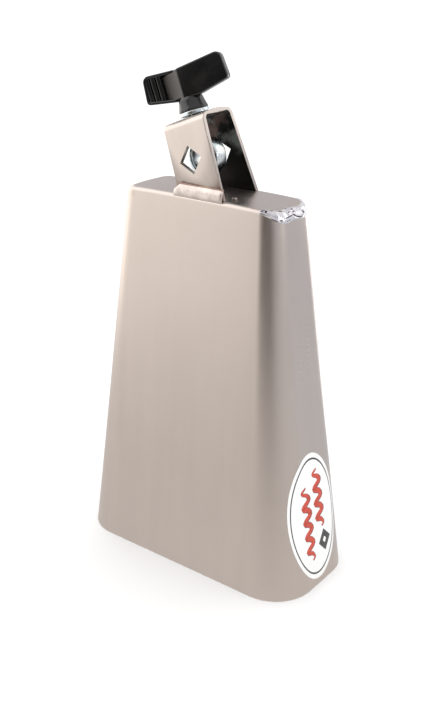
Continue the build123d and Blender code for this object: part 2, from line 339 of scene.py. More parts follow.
# Thumb rest moulding: rubbed matt wear, lightened brown grey also as a painted sheen.
WORN_AND_SHEEN = Finish(
    "black moulding, rubbed matt and painted sheen", {"Base Color": colour(0.062, 0.054, 0.048), "Roughness": 0.38}
).material
SLEEVE_STEEL = brushed("thread insert, turned", (0.62, 0.60, 0.56), (0.45, 0.43, 0.40), (30, 30, 900), 0.3)
VINYL = print_finish("label white", (0.84, 0.84, 0.83), (0.79, 0.79, 0.78), 0.3)
RED_INK = print_finish("label orange red", (0.56, 0.040, 0.008), (0.47, 0.030, 0.006), 0.3)
DARK_INK = print_finish("label dark ink", (0.022, 0.018, 0.018), (0.045, 0.04, 0.04), 0.3)
RIM_INK = print_finish("label red shadow", (0.16, 0.020, 0.012), (0.12, 0.015, 0.01), 0.3)


# ------------------------------------------------------------------ mesh tools


def piece(name, mesh, body, nodes, slot, *materials, sharp=35):
    """Turns a bmesh into a finished, smooth-shaded piece that rides on a body."""
    data = bpy.data.meshes.new(name)
    bmesh.ops.remove_doubles(mesh, verts=mesh.verts, dist=0.001 * MM)
    bmesh.ops.recalc_face_normals(mesh, faces=mesh.faces)
    mesh.to_mesh(data)
    mesh.free()
    data.polygons.foreach_set("use_smooth", [True] * len(data.polygons))
    data.set_sharp_from_angle(angle=radians(sharp))
    for material in materials:
        data.materials.append(material)
    made = bpy.data.objects.new(name, data)
    bpy.context.scene.collection.objects.link(made)
    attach(made, body)
    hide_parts(*nodes)


def skin(mesh, loops, capped=True, material=0):
    """Covers a row of equally long closed loops of points with faces, first to last."""
    rows = [[mesh.verts.new(point) for point in loop] for loop in loops]
    count = len(rows[0])
    faces = []
    for low, high in zip(rows, rows[1:]):
        for i in range(count):
            j = (i + 1) % count
            faces.append(mesh.faces.new((low[i], low[j], high[j], high[i])))
    if capped:
        faces.append(mesh.faces.new(list(reversed(rows[0]))))
        faces.append(mesh.faces.new(rows[-1]))
    for face in faces:
        face.material_index = material
    return faces


def full_turn(steps):
    return [2 * pi * i / steps for i in range(steps)]


def lathe(mesh, profile, place, steps):
    """Turns a list of (radius, height) points into a closed round solid."""
    loops = []
    for radius, height in profile:
        loops.append([place @ Vector((radius * cos(t), radius * sin(t), height)) for t in full_turn(steps)])
    skin(mesh, loops)


def rounded(corners, steps=5):
    """An outline with its corners rounded; each corner is (x, y, radius)."""
    points = []
    count = len(corners)
    for i, (x, y, radius) in enumerate(corners):
        here = Vector((x, y))
        back = (Vector(corners[i - 1][:2]) - here).normalized()
        ahead = (Vector(corners[(i + 1) % count][:2]) - here).normalized()
        half = back.angle(ahead) / 2
        cut = radius / tan(half)
        centre = here + (back + ahead).normalized() * (radius / sin(half))
        start, end = here + back * cut - centre, here + ahead * cut - centre
        sweep = start.angle_signed(end)
        for k in range(steps + 1):
            points.append(centre + Matrix.Rotation(-sweep * k / steps, 2) @ start)
    return points


# ------------------------------------------------------------------- the bell


def outline(half_width, half_depth, corner):
    """Stations anticlockwise round the bell, from the right side's near end: (point, outward) pairs."""
    stations = []
    for side in range(4):
        turn = side * pi / 2
        out, along = Vector((cos(turn), sin(turn), 0)), Vector((-sin(turn), cos(turn), 0))
        reach, run = half_width, half_depth - corner
        if side % 2 == 1:
            reach, run = half_depth, half_width - corner
        for i in range(STRAIGHT_STEPS):
            stations.append((out * reach + along * run * (2 * i / STRAIGHT_STEPS - 1), out))
        for i in range(CORNER_STEPS):
            bend = i / CORNER_STEPS * pi / 2
            facing = out * cos(bend) + along * sin(bend)
            stations.append((out * (reach - corner) + along * run + facing * corner, facing))
    return stations


def bell_size(z):
    return [mix(low, high, z / HEIGHT) for low, high in zip(MOUTH, CROWN)]


def wall_lean(facing):
    """Angle between the upright and the wall that faces this way."""
    (wide_0, deep_0, bend_0), (wide_1, deep_1, bend_1) = MOUTH, CROWN
    across = abs(facing.x) * (wide_0 - bend_0 - wide_1 + bend_1)
    across += abs(facing.y) * (deep_0 - bend_0 - deep_1 + bend_1)
    return atan((across + bend_0 - bend_1) / HEIGHT)


def fold_point(crown_point, facing, turn, inset=0.0):
    """A point on the fold between wall and crown, and its normal; turn runs from the lean to 90 degrees."""
    radius = mix(FACE_FOLD, END_FOLD, facing.x**2)
    trim = radius * tan((pi / 2 - wall_lean(facing)) / 2)
    centre = crown_point - facing * trim + UP * (HEIGHT - radius)
    normal = facing * cos(turn) + UP * sin(turn)
    return centre + normal * (radius - inset), normal


def shaped(point):
    """Bows the narrow sides outwards towards the crown, and lets the crown's ends sink a little."""
    half_width, half_depth, _ = bell_size(point.z)
    across = max(0, 1 - (point.y / half_depth) ** 2)
    bulge = END_BOW * (point.z / HEIGHT) ** 2 * across
    drop = END_DROP * abs(point.x / half_width) ** 3 * ease((point.z / HEIGHT - 0.9) / 0.08)
    return point + Vector((copysign(bulge, point.x), 0, -drop))


def fold_loops(inset):
    """Loops from the top of the wall over the fold to the flat crown."""
    loops = []
    for step in range(FOLD_STEPS + 1):
        loop = []
        for point, facing in outline(*CROWN):
            turn = mix(wall_lean(facing), pi / 2, step / FOLD_STEPS)
            loop.append(fold_point(point, facing, turn, inset)[0])
        loops.append(loop)
    return loops


def rim_loop(inset, z):
    return [point - facing * inset + UP * z for point, facing in outline(*bell_size(z))]


def wall_loops(bottom, top):
    """Loops that climb straight from one loop to another."""
    shares = [step / WALL_STEPS for step in range(1, WALL_STEPS)]
    return [[a.lerp(b, share) for a, b in zip(bottom, top)] for share in shares]


def bell():
    mesh = bmesh.new()
    outer_fold, inner_fold = fold_loops(0), fold_loops(SHEET)
    outer_foot, inner_foot = rim_loop(0, RIM_ROUND), rim_loop(SHEET, RIM_ROUND)
    lip = 0.3 * RIM_ROUND  # where the rim's rounding is halfway round
    rim = [
        inner_foot,
        rim_loop(SHEET - lip, lip),
        rim_loop(SHEET - RIM_ROUND, 0),
        rim_loop(RIM_ROUND, 0),
        rim_loop(lip, lip),
        outer_foot,
    ]
    inside = inner_fold[::-1] + wall_loops(inner_foot, inner_fold[0])[::-1]
    walls = wall_loops(outer_foot, outer_fold[0]) + outer_fold
    faces = skin(mesh, inside + rim + walls)
    around = len(rim[0])
    inner_count = (len(inside) + 1) * around
    inner_cap = faces[-2]
    crown_start = len(faces) - 2 - (FOLD_STEPS // 3) * around
    for index, face in enumerate(faces):
        if index < inner_count or face is inner_cap:
            face.material_index = 2
        elif index >= crown_start:
            face.material_index = 1
    for vert in mesh.verts:
        vert.co = shaped(vert.co)
    piece("folded_bell", mesh, "bell", ["bell_shell"], "bell_steel", WALL_STEEL, CROWN_STEEL, INNER_STEEL)


# ------------------------------------------------------------------ the welds


def burn_at(spots, u, v):
    """How burnt a bead is at (u, v): each spot is (u, v, half length, half height)."""
    share = 0
    for spot_u, spot_v, half_u, half_v in spots:
        away = ((u - spot_u) / half_u) ** 2 + ((v - spot_v) / half_v) ** 2
        share = max(share, ease(1.5 - away))
    return share


LENS = (0.57, -0.2, 0.10, 0.5)


def lens_at(u, v):
    """The dark outline of the last puddle, where the torch was lifted off: an oval ring."""
    lens_u, lens_v, half_u, half_v = LENS
    away = ((u - lens_u) / half_u) ** 2 + ((v - lens_v) / half_v) ** 2
    return ease(1.15 - abs(away**0.5 - 1) / 0.45)


BEAD_ROOT, BEAD_SKIN = 0.4 * MM, 0.02 * MM


def weld(name, surface, steps, thickness, ripple, node, seed, material, rough=1.0, burnt=None):
    """A bead laid on a surface. surface(u, v) gives a point and its normal, u along the bead and v from -1
    to 1 across it; ripple is how many crescents lie along it and rough how lumpy it is. burnt lists its
    dark spots; without a list only its upper rim is darkened: heat tint, and painted shadow of the undercut."""
    mesh = bmesh.new()
    edge_store = mesh.verts.layers.float.new("edge")
    along, across = steps
    loops, edges = [], []
    for i in range(along + 1):
        u = i / along
        end = ease(min(u, 1 - u) * along / 5)
        crest, root = [], []
        for k in range(across + 1):
            v = 2 * k / across - 1
            point, normal = surface(u, v)
            spot = Vector((u * ripple, v, seed))
            sway = 2 * noise.noise(point / MM * 0.25)
            crescent = 0.5 + 0.5 * sin(2 * pi * (u * ripple + 0.35 * v * v) + sway)
            flow = noise.noise(Vector((spot.x * 0.45, v * 1.9, seed))) * 0.9
            lumps = flow + noise.noise(Vector((spot.x * 1.1, v * 3.4, seed + 9))) * 0.4
            swell = max(0, 1 - v * v) ** 0.5 * end
            # Without a list the upper rim is darkened: heat tint, and on the foot beads painted shadow of
            # the undercut.
            dark = burn_at(burnt, u, v) if burnt else ease((v - 0.55) / 0.35)
            lens = lens_at(u, v) if burnt else 0
            sunk = 0.45 * max(dark, lens) if burnt else 0
            relief = rough * (0.14 * crescent - 0.07 + 0.5 * lumps)
            height = thickness * swell * (0.72 + relief - sunk)
            crest.append(point + normal * max(height, BEAD_SKIN) if swell > 0.05 else point)
            root.append(point - normal * BEAD_ROOT)
            edges.append(max(dark, 0.75 * lens * (0.75 + lumps)))
        edges += [0] * (across + 1)
        loops.append(crest + root[::-1])
    skin(mesh, loops)
    for vert, edge in zip(mesh.verts, edges):
        vert[edge_store] = edge
    piece(name, mesh, "bell", [node], "weld_metal", material, sharp=60)


# How far up the fold each end bead starts and stops, as shares of the fold: -1 left, +1 right.
END_BEAD = {-1: (-0.35, 1.04), 1: (0.04, 0.78)}
PAST_FOLD = 8 * MM


def end_seam(side):
    """Surface over one end of the crown, from the wall across the fold; side is +1 right, -1 left."""
    half_width, half_depth, corner = CROWN

    def surface(u, v):
        straight = 2 * (half_depth - corner)
        bend = corner * pi / 2
        place = u * (straight + 2 * bend) - bend - straight / 2
        turn = max(abs(place) - straight / 2, 0) / corner
        sign = 1 if place > 0 else -1
        facing = Vector((side * cos(turn), sign * sin(turn), 0))
        run = min(abs(place), straight / 2)
        point = Vector((side * (half_width - corner), sign * run, 0)) + facing * corner
        lean = wall_lean(facing)
        low, high = END_BEAD[side]
        wander = 0.035 * sin(17 * u) - 0.2 * u * (v + 1) / 2 if side > 0 else 0
        reach = mix(low, high, (v + 1) / 2) + wander
        on_fold, normal = fold_point(point, facing, mix(lean, pi / 2, max(reach, 0)))
        below = min(reach, 0) * PAST_FOLD
        down_wall = UP * cos(lean) - facing * sin(lean)
        beyond = max(reach - 1, 0) * PAST_FOLD
        return shaped(on_fold + down_wall * below - facing * beyond), normal

    return surface


LEG_FACE, FOOT_FACE, FOOT_LOW = 14.2 * MM, 15.95 * MM, 1.0 * MM


def foot_seam(side, rise, left, right):
    """Surface between a bracket leg and the crown's fold; side is -1 front, +1 back. rise is its height up
    the leg, left and right how far its ends stop short of the CAD bead's."""
    low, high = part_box("front_bracket_weld")

    def surface(u, v):
        x = mix(low.x + left, high.x - right, u)
        taper = 1 - 0.45 * ease((0.12 - u) / 0.12)
        upper = Vector((x, side * LEG_FACE, HEIGHT + rise * taper))
        lower = Vector((x, side * FOOT_FACE, HEIGHT - FOOT_LOW))
        share = (1 - v) / 2
        bulge = Vector((0, side * 0.13 * rise, 0.03 * rise)) * (1 - v * v)
        normal = Vector((0, side * mix(0.75, 0.97, share), mix(0.66, 0.2, share)))
        return upper.lerp(lower, share) + bulge, normal.normalized()

    return surface


SEAM_LOW, SEAM_HIGH, SEAM_HALF_WIDTH = 3 * MM, HEIGHT - 9 * MM, 1.6 * MM


def side_seam(u, v):
    """Surface down the middle of the left narrow side."""
    z = mix(SEAM_LOW, SEAM_HIGH, u)
    half_width = bell_size(z)[0]
    lean = wall_lean(Vector((1, 0, 0)))
    return shaped(Vector((-half_width, SEAM_HALF_WIDTH * v, z))), Vector((-cos(lean), 0, sin(lean)))


# The spatter's drops, as (shift, radius).
DROPS = ((Vector((0, 0, 0)), 1.3 * MM), (Vector((-1.3, 0.5, -0.1)) * MM, 0.75 * MM))


def nub():
    """Spatter: one round drop with a smaller one run into it."""
    mesh = bmesh.new()
    low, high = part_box("weld_nub")
    centre = (low + high) / 2
    centre.z = low.z
    for shift, radius in DROPS:
        place = Matrix.Translation(centre + shift) @ Matrix.Scale(0.75, 4, UP)
        bmesh.ops.create_icosphere(mesh, subdivisions=4, radius=radius, matrix=place)
    for vert in mesh.verts:
        vert.co += (vert.co - centre) * 0.15 * noise.noise(vert.co / MM * 0.8)
    piece("weld_spatter", mesh, "bell", ["weld_nub"], "weld_metal", SPOT_WELD, sharp=80)


# Where the right end bead is burnt dark, as (u, v, half length, half height).
END_BURNS = (
    (0.065, 0.45, 0.05, 0.16),
    (0.085, 0.1, 0.014, 0.2),
    (0.14, 0.72, 0.03, 0.1),
    (0.145, 0.9, 0.016, 0.1),
    (0.21, 0.84, 0.016, 0.1),
    (0.265, 0.84, 0.028, 0.13),
    (0.31, 0.8, 0.018, 0.16),
    (0.41, 0.94, 0.016, 0.1),
    (0.48, 0.5, 0.03, 0.1),
    (0.17, -0.9, 0.04, 0.07),
    (0.24, -0.6, 0.018, 0.09),
    (0.37, -0.3, 0.075, 0.045),
    (0.355, -0.76, 0.05, 0.055),
    (0.40, 0.2, 0.03, 0.04),
)


def welds():
    right, left = end_seam(1), end_seam(-1)
    weld("right_end_bead", right, (260, 44), 0.95 * MM, 11, "right_end_weld", 3, BRIGHT_WELD, 1.0, END_BURNS)
    weld("left_end_bead", left, (110, 24), 0.1 * MM, 12, "left_end_weld", 31, DRESSED_WELD, 0.5)
    front, back = foot_seam(-1, 5.6 * MM, 0, 0), foot_seam(1, 2.4 * MM, 0.5 * MM, 1.2 * MM)
    weld("front_foot_bead", front, (110, 20), 0.35 * MM, 11, "front_bracket_weld", 47, WARM_WELD_AND_UNDERCUT_SHADE, 0.7)
    weld("back_foot_bead", back, (110, 20), 0.5 * MM, 11, "back_bracket_weld", 59, WARM_WELD_AND_UNDERCUT_SHADE, 0.7)
    weld("side_seam_bead", side_seam, (260, 10), 0.12 * MM, 110, "left_side_seam_weld", 71, DRESSED_WELD)
    nub()


# --------------------------------------------------------- bracket and clamp


# Above this height up the clamp, a face of the strap that looks down is the underside of its crest.
UNDER_CREST = 34 * MM


def strap():
    """The bracket keeps its CAD shape; its loose triangles are joined, its bends shaded smooth and the
    faces that look inwards, with the crest's underside, painted black: scale, and painted shade inside the
    bracket."""
    mesh = bmesh.new()
    mesh.from_mesh(frame["nodes"]["mounting_bracket"].data)
    upright = CLAMP.inverted()
    for face in mesh.faces:
        here, facing = upright @ face.calc_center_median(), upright.to_3x3() @ face.normal
        # Inward faces and the crest's underside get the black: scale, and painted shade.
        inwards = facing.y * here.y < -0.5 * abs(here.y)
        if inwards or (facing.z < -0.4 and here.z > UNDER_CREST):
            face.material_index = 1
    finishes = (STRAP_STEEL, SCALE_AND_SHADE_STEEL)
    piece("strap_bracket", mesh, "bell", ["mounting_bracket"], "bracket_steel", *finishes, sharp=32)


EYE_HEIGHT, EYE_RADIUS, EYE_HOLE, EYE_HALF_WIDTH = 18.1 * MM, 9.5 * MM, 6.5 * MM, 4.3 * MM
EYE_ROUND_OUTSIDE, EYE_ROUND_INSIDE = 1.5 * MM, 0.9 * MM
NECK_RADIUS, NECK_STEPS = 4.25 * MM, 12
NECK_TOP, STEM_RADIUS, STEM_TOP = 29.5 * MM, 3.95 * MM, 52 * MM
PITCH, THREAD_DEPTH, THREAD_STEPS = 1.25 * MM, 0.68 * MM, 8
CREST = 39.1 * MM
WASHER_HOLE, WASHER_RADIUS, WASHER_THICK = 4.25 * MM, 7.45 * MM, 2 * MM


def eye_bolt():
    mesh = bmesh.new()
    section = rounded(
        [
            (EYE_HOLE, -EYE_HALF_WIDTH, EYE_ROUND_INSIDE),
            (EYE_RADIUS, -EYE_HALF_WIDTH, EYE_ROUND_OUTSIDE),
            (EYE_RADIUS, EYE_HALF_WIDTH, EYE_ROUND_OUTSIDE),
            (EYE_HOLE, EYE_HALF_WIDTH, EYE_ROUND_INSIDE),
        ],
        6,
    )
    loops = []
    for turn in full_turn(96):
        loops.append([CLAMP @ Vector((r * cos(turn), y, EYE_HEIGHT + r * sin(turn))) for r, y in section])
    skin(mesh, loops + [loops[0]], capped=False)
    neck_low = EYE_HEIGHT + EYE_HOLE + 0.8 * MM
    neck = []
    for step in range(NECK_STEPS + 1):
        share = step / NECK_STEPS
        radius = mix(NECK_RADIUS, STEM_RADIUS, ease(share))
        neck.append((radius, mix(neck_low, NECK_TOP, share)))
    neck.append((STEM_RADIUS - THREAD_DEPTH, NECK_TOP + 0.4 * MM))
    lathe(mesh, neck, CLAMP, 48)
    skin(mesh, thread_loops())
    piece("eye_bolt_plated", mesh, "eye_bolt", ["eye_bolt"], "zinc_plate", ZINC, sharp=40)


def thread_loops(steps=48):
    """Loops up the threaded stem; the groove climbs one pitch a turn."""
    rows = ceil((STEM_TOP - NECK_TOP) / PITCH * THREAD_STEPS)
    loops = []
    for row in range(rows + 1):
        z = mix(NECK_TOP - 0.3 * MM, STEM_TOP, row / rows)
        run_out = ease((z - NECK_TOP) / (2 * MM)) * ease((STEM_TOP - z) / (1 * MM))
        loop = []
        for i in range(steps):
            groove = abs(((z / PITCH - i / steps) % 1) * 2 - 1)
            depth = THREAD_DEPTH * (ease(groove * 1.3 - 0.1) * run_out + (1 - ease((STEM_TOP - z) / MM)))
            turn = 2 * pi * i / steps
            radius = STEM_RADIUS - depth
            loop.append(CLAMP @ Vector((radius * cos(turn), radius * sin(turn), z)))
        loops.append(loop)
    return loops


def washer():
    mesh = bmesh.new()
    low = CREST + 0.05 * MM
    section = rounded(
        [
            (WASHER_HOLE, low, 0.2 * MM),
            (WASHER_RADIUS, low, 0.3 * MM),
            (WASHER_RADIUS, low + WASHER_THICK, 0.55 * MM),
            (WASHER_HOLE, low + WASHER_THICK, 0.3 * MM),
        ],
        4,
    )
    loops = [[CLAMP @ Vector((r * cos(t), r * sin(t), z)) for r, z in section] for t in full_turn(72)]
    skin(mesh, loops + [loops[0]], capped=False)
    piece("thick_washer", mesh, "washer", ["flat_washer"], "zinc_plate", ZINC, sharp=40)


# --------------------------------------------------------------- the wing nut

NUT_BASE = CREST + 2.1 * MM
WING_YAW = radians(20.5)
WING_FRONT, WING_BACK = -5.6 * MM, -0.5 * MM
FLOOR_BACK = -4.0 * MM
WING_EDGE = 0.75 * MM
RIM_WIDTH, RIM_ROLL = 1.4 * MM, 0.55 * MM
RIB_COUNT, RIB_PITCH, RIB_START, RIB_LOW = 3, 3.05 * MM, 12.6 * MM, 50.3 * MM
RIB_LENGTH, RIB_WIDTH, RIB_ROUND, RIB_SINK = 12.6 * MM, 2.45 * MM, 0.55 * MM, 0.4 * MM
EMBLEM_ALONG, EMBLEM_HEIGHT, EMBLEM_RAISE, EMBLEM_SINK = 12.6 * MM, 56.9 * MM, 0.28 * MM, 0.2 * MM
# Corners of a wing seen from its smooth side, anticlockwise, in millimetres: (along, height, rounding).
WING_OUTLINE = [
    (-1.8, 47.3, 0.8),
    (7.0, 47.3, 6.0),
    (23.3, 50.4, 1.9),
    (22.1, 64.3, 3.2),
    (-1.8, 62.3, 1.0),
]
# The thumb rest between hub and ribs slopes from the back of the wing down to the ribs' floor.
REST_HEEL, REST_START, REST_END = -1.0 * MM, 1.75 * MM, 12.4 * MM
REST_LOW, REST_HIGH = 48.6 * MM, 61.3 * MM
THUMB_REST = [
    (REST_HEEL, FLOOR_BACK - 1 * MM),
    (REST_END, FLOOR_BACK - 1 * MM),
    (REST_END, FLOOR_BACK + 0.3 * MM),
    (REST_START, -WING_FRONT - 0.25 * MM),
    (REST_HEEL, -WING_FRONT - 0.25 * MM),
]
# The hub, up its outside: (radius, height) in millimetres, from the end of its taper to the top.
HUB_HOLE, HUB_TAPER_STEPS = 4.1 * MM, 8
HUB_FOOT, HUB_WAIST, HUB_WAIST_HEIGHT = 7.45, 6.2, 47.0 * MM
HUB_TOP = ((5.6, 48), (5.0, 49), (4.9, 61.8), (4.5, 62.2), (1, 62.3))


def inset(points, distance):
    """The same outline, anticlockwise, drawn in by a distance."""
    drawn = []
    for i, point in enumerate(points):
        ahead, back = points[(i + 1) % len(points)] - point, point - points[i - 1]
        along = (ahead.normalized() + back.normalized()).normalized()
        drawn.append(point + Vector((-along.y, along.x)) * distance)
    return drawn


def plate(mesh, corners, front, back, edge, steps=4):
    """Adds a moulded plate: an outline in (along, height), between two depths, with rolled edges."""
    points = rounded([(x * MM, z * MM, r * MM) for x, z, r in corners], 6)
    rolled = []
    for step in range(steps + 1):
        turn = pi / 2 * step / steps
        rolled.append((edge * (1 - sin(turn)), edge * (1 - cos(turn))))
    levels = [(front + deep, shy) for shy, deep in rolled]
    levels += [(back - deep, shy) for shy, deep in rolled[::-1]]
    skin(mesh, [[Vector((p.x, y, p.y)) for p in inset(points, shy)] for y, shy in levels])


def raised_rim(mesh, corners, front, back):
    """Adds the raised rim that runs round the inside of an outline."""
    points = rounded([(x * MM, z * MM, max(r, 1.6) * MM) for x, z, r in corners], 6)
    section = (
        (front, 0),
        (back - RIM_ROLL, 0),
        (back - 0.3 * RIM_ROLL, 0.3 * RIM_ROLL),
        (back, RIM_ROLL),
        (back, RIM_WIDTH - RIM_ROLL),
        (back - 0.5 * RIM_ROLL, RIM_WIDTH),
        (front, RIM_WIDTH),
    )
    loops = [[Vector((p.x, y, p.y)) for p in inset(points, shy)] for y, shy in section]
    skin(mesh, loops + [loops[0]], capped=False)


def add(mesh, made, place):
    """Puts a finished bmesh in its place in another one, and uses it up."""
    made.transform(place)
    data = bpy.data.meshes.new("part")
    made.to_mesh(data)
    made.free()
    mesh.from_mesh(data)
    bpy.data.meshes.remove(data)


BAR_SIZES = {
    "Count": "NodeSocketInt",
    "Pitch": "NodeSocketFloat",
    "Length": "NodeSocketFloat",
    "Width": "NodeSocketFloat",
    "Height": "NodeSocketFloat",
    "Rounding": "NodeSocketFloat",
    "Shortest": "NodeSocketFloat",
    "Material": "NodeSocketMaterial",
}
BAR_SEED = 7


def bar_row_tree():
    """Rounded bars standing side by side: bars run up Z and step along X."""
    tree = bpy.data.node_groups.new("row of rounded bars", "GeometryNodeTree")
    for name, kind in BAR_SIZES.items():
        tree.interface.new_socket(name, in_out="INPUT", socket_type=kind)
    tree.interface.new_socket("Bars", in_out="OUTPUT", socket_type="NodeSocketGeometry")
    given = tree.nodes.new("NodeGroupInput").outputs

    def node(kind, settings, inputs, output=0):
        made = tree.nodes.new(kind)
        for name, value in settings.items():
            setattr(made, name, value)
        for name, value in inputs.items():
            if isinstance(value, bpy.types.NodeSocket):
                tree.links.new(value, made.inputs[name])
            else:
                made.inputs[name].default_value = value
        return made.outputs[output]

    sides = {"Width": given["Width"], "Height": given["Height"]}
    square = node("GeometryNodeCurvePrimitiveQuadrilateral", {}, sides)
    fillet = {"Curve": square, "Count": 4, "Radius": given["Rounding"]}
    section = node("GeometryNodeFilletCurve", {"mode": "POLY"}, fillet)
    top = node("ShaderNodeCombineXYZ", {}, {"Z": given["Length"]})
    spine = node("GeometryNodeCurvePrimitiveLine", {}, {"Start": (0, 0, 0), "End": top})
    bar = node("GeometryNodeCurveToMesh", {}, {"Curve": spine, "Profile Curve": section, "Fill Caps": True})
    step = node("ShaderNodeCombineXYZ", {}, {"X": given["Pitch"]})
    places = node("GeometryNodeMeshLine", {"mode": "OFFSET"}, {"Count": given["Count"], "Offset": step})
    least = node("ShaderNodeCombineXYZ", {}, {"X": 1.0, "Y": 1.0, "Z": given["Shortest"]})
    uneven = node(
        "FunctionNodeRandomValue", {"data_type": "FLOAT_VECTOR"}, {0: least, 1: (1, 1, 1), "Seed": BAR_SEED}
    )
    row = node("GeometryNodeInstanceOnPoints", {}, {"Points": places, "Instance": bar, "Scale": uneven})
    solid = node("GeometryNodeRealizeInstances", {}, {"Geometry": row})
    finished = node("GeometryNodeSetMaterial", {}, {"Geometry": solid, "Material": given["Material"]})
    tree.links.new(finished, tree.nodes.new("NodeGroupOutput").inputs["Bars"])
    return tree


BAR_ROW = bar_row_tree()


def bar_row(**sizes):
    """The mesh of one row of bars, as a bmesh."""
    holder = bpy.data.objects.new("bars", bpy.data.meshes.new("bars"))
    bpy.context.scene.collection.objects.link(holder)
    row = holder.modifiers.new("row", "NODES")
    row.node_group = BAR_ROW
    for item in BAR_ROW.interface.items_tree:
        if item.in_out == "INPUT":
            row[item.identifier] = sizes[item.name]
    grown = holder.evaluated_get(bpy.context.evaluated_depsgraph_get())
    data = bpy.data.meshes.new_from_object(grown)
    holder.modifiers.remove(row)
    bpy.data.objects.remove(holder)
    made = bmesh.new()
    made.from_mesh(data)
    bpy.data.meshes.remove(data)
    for face in made.faces:
        face.material_index = 0
    return made


def emblem(mesh):
    """A raised diamond frame with a dot, in the middle of the smooth face."""
    frame_reach, wall, dot_reach = 5.2 * MM, 0.55 * MM, 1.4 * MM
    wall_share = wall / frame_reach
    frame_steps = (
        (1, EMBLEM_SINK),
        (1 - 0.2 * wall_share, -EMBLEM_RAISE),
        (1 - wall_share, -EMBLEM_RAISE),
        (1 - 1.2 * wall_share, EMBLEM_SINK),
    )
    dot_steps = ((1, EMBLEM_SINK), (0.97, -EMBLEM_RAISE))
    for reach, steps in ((frame_reach, frame_steps), (dot_reach, dot_steps)):
        outer = [(reach, 0), (0, reach * 0.85), (-reach, 0), (0, -reach * 0.85)]
        loops = []
        for scale, depth in steps:
            across = [(EMBLEM_ALONG + x * scale, EMBLEM_HEIGHT + z * scale) for x, z in outer]
            loops.append([Vector((x, WING_FRONT + depth, z)) for x, z in across])
        if steps is dot_steps:
            skin(mesh, loops)
        else:
            skin(mesh, loops + [loops[0]], capped=False)


def wing():
    """One wing, reaching along +X: a smooth face towards -Y and a ribbed thumb face towards +Y."""
    mesh = bmesh.new()
    plate(mesh, WING_OUTLINE, WING_FRONT, FLOOR_BACK, WING_EDGE)
    raised_rim(mesh, WING_OUTLINE, FLOOR_BACK - 0.8 * MM, WING_BACK)
    ramp = [[Vector((x, y, z)) for x, y in THUMB_REST] for z in (REST_LOW, REST_HIGH)]
    # The thumb rest takes the rubbed matt moulding: wear, and painted sheen.
    skin(mesh, ramp, material=1)
    ribs = bar_row(
        Count=RIB_COUNT,
        Pitch=RIB_PITCH,
        Length=RIB_LENGTH,
        Width=RIB_WIDTH,
        Height=WING_BACK - FLOOR_BACK,
        Rounding=RIB_ROUND,
        Shortest=1.0,
        Material=BLACK,
    )
    depth = (WING_BACK + FLOOR_BACK) / 2 - RIB_SINK
    add(mesh, ribs, Matrix.Translation((RIB_START + RIB_PITCH / 2, depth, RIB_LOW)))
    emblem(mesh)
    return mesh


def wing_nut():
    turned = CLAMP @ Matrix.Rotation(WING_YAW, 4, "Z")
    mesh = bmesh.new()
    bore_top = NUT_BASE + 15 * MM
    hub = [(0.3 * MM, bore_top), (HUB_HOLE, bore_top), (HUB_HOLE, NUT_BASE)]
    hub += [(7.2 * MM, NUT_BASE), (7.5 * MM, NUT_BASE + 0.35 * MM)]
    for step in range(HUB_TAPER_STEPS + 1):
        share = step / HUB_TAPER_STEPS
        radius = mix(HUB_FOOT, HUB_WAIST, share**0.8) * MM
        hub.append((radius, mix(NUT_BASE + 0.9 * MM, HUB_WAIST_HEIGHT, share)))
    hub += [(radius * MM, height * MM) for radius, height in HUB_TOP]
    lathe(mesh, hub, turned, 72)
    for half_turn in (0, pi):
        add(mesh, wing(), turned @ Matrix.Rotation(half_turn, 4, "Z"))
    piece("wing_nut_moulding", mesh, "wing_nut", ["wing_nut"], "black_plastic", BLACK, WORN_AND_SHEEN, sharp=38)


# ------------------------------------------------- label and stamped marks

LABEL_ALONG, LABEL_Z = -2.3 * MM, 39.9 * MM
LABEL_HALF_WIDTH, LABEL_HALF_HEIGHT = 20.0 * MM, 36.2 * MM
LABEL_TILT = radians(-3)
# Lifts off the bell: the film's underside and face, the ink on it, and ink that lies over other ink.
FILM_LOW, FILM, INK, TOP_INK = 0.03 * MM, 0.15 * MM, 0.17 * MM, 0.17 * MM + 0.02 * MM
STROKE_WIDTH, SHADOW_WIDTH, SHADOW_SHIFT = 2.75 * MM, 3.3 * MM, 0.3 * MM
LINE_INSIDE, LINE_OUTSIDE = 0.895, 0.925
# The two waves: across, lower and upper end, in millimetres, and turns.
WAVES = ((-5.6, -23.5, 19.5, 5), (5.4, -8.5, 25.5, 4))
# The pressed rows: run round the bell from the side's middle, lower end and number of dashes.
DASH_ROWS = ((-6.2 * MM, 112 * MM, 17), (1.6 * MM, 118 * MM, 11))
DASH_SINK = 0.13 * MM


def side_point(along, z, lift=0.0):
    """A point on the right narrow side, by its run round the bell from the side's middle."""
    half_width, half_depth, corner = bell_size(z)
    straight = half_depth - corner
    turn = max(abs(along) - straight, 0) / corner
    sign = 1 if along > 0 else -1
    facing = Vector((cos(turn), sign * sin(turn), 0))
    lean = wall_lean(facing)
    base = Vector((half_width - corner, sign * min(abs(along), straight), z)) + facing * corner
    return shaped(base) + (facing * cos(lean) + UP * sin(lean)) * lift


def on_label(across, up, lift):
    along = LABEL_ALONG + across * cos(LABEL_TILT) + up * sin(LABEL_TILT)
    return side_point(along, LABEL_Z - across * sin(LABEL_TILT) + up * cos(LABEL_TILT), lift)


def oval(share):
    wide, high = LABEL_HALF_WIDTH * share, LABEL_HALF_HEIGHT * share
    return [(wide * cos(t), high * sin(t)) for t in full_turn(96)]


def film(mesh, rings, low, high, material):
    """A thin closed skin on the label; rings run from the middle to the edge."""
    top = [[on_label(x, y, high) for x, y in ring] for ring in rings]
    bottom = [[on_label(x, y, low) for x, y in ring] for ring in reversed(rings)]
    skin(mesh, top + bottom, material=material)


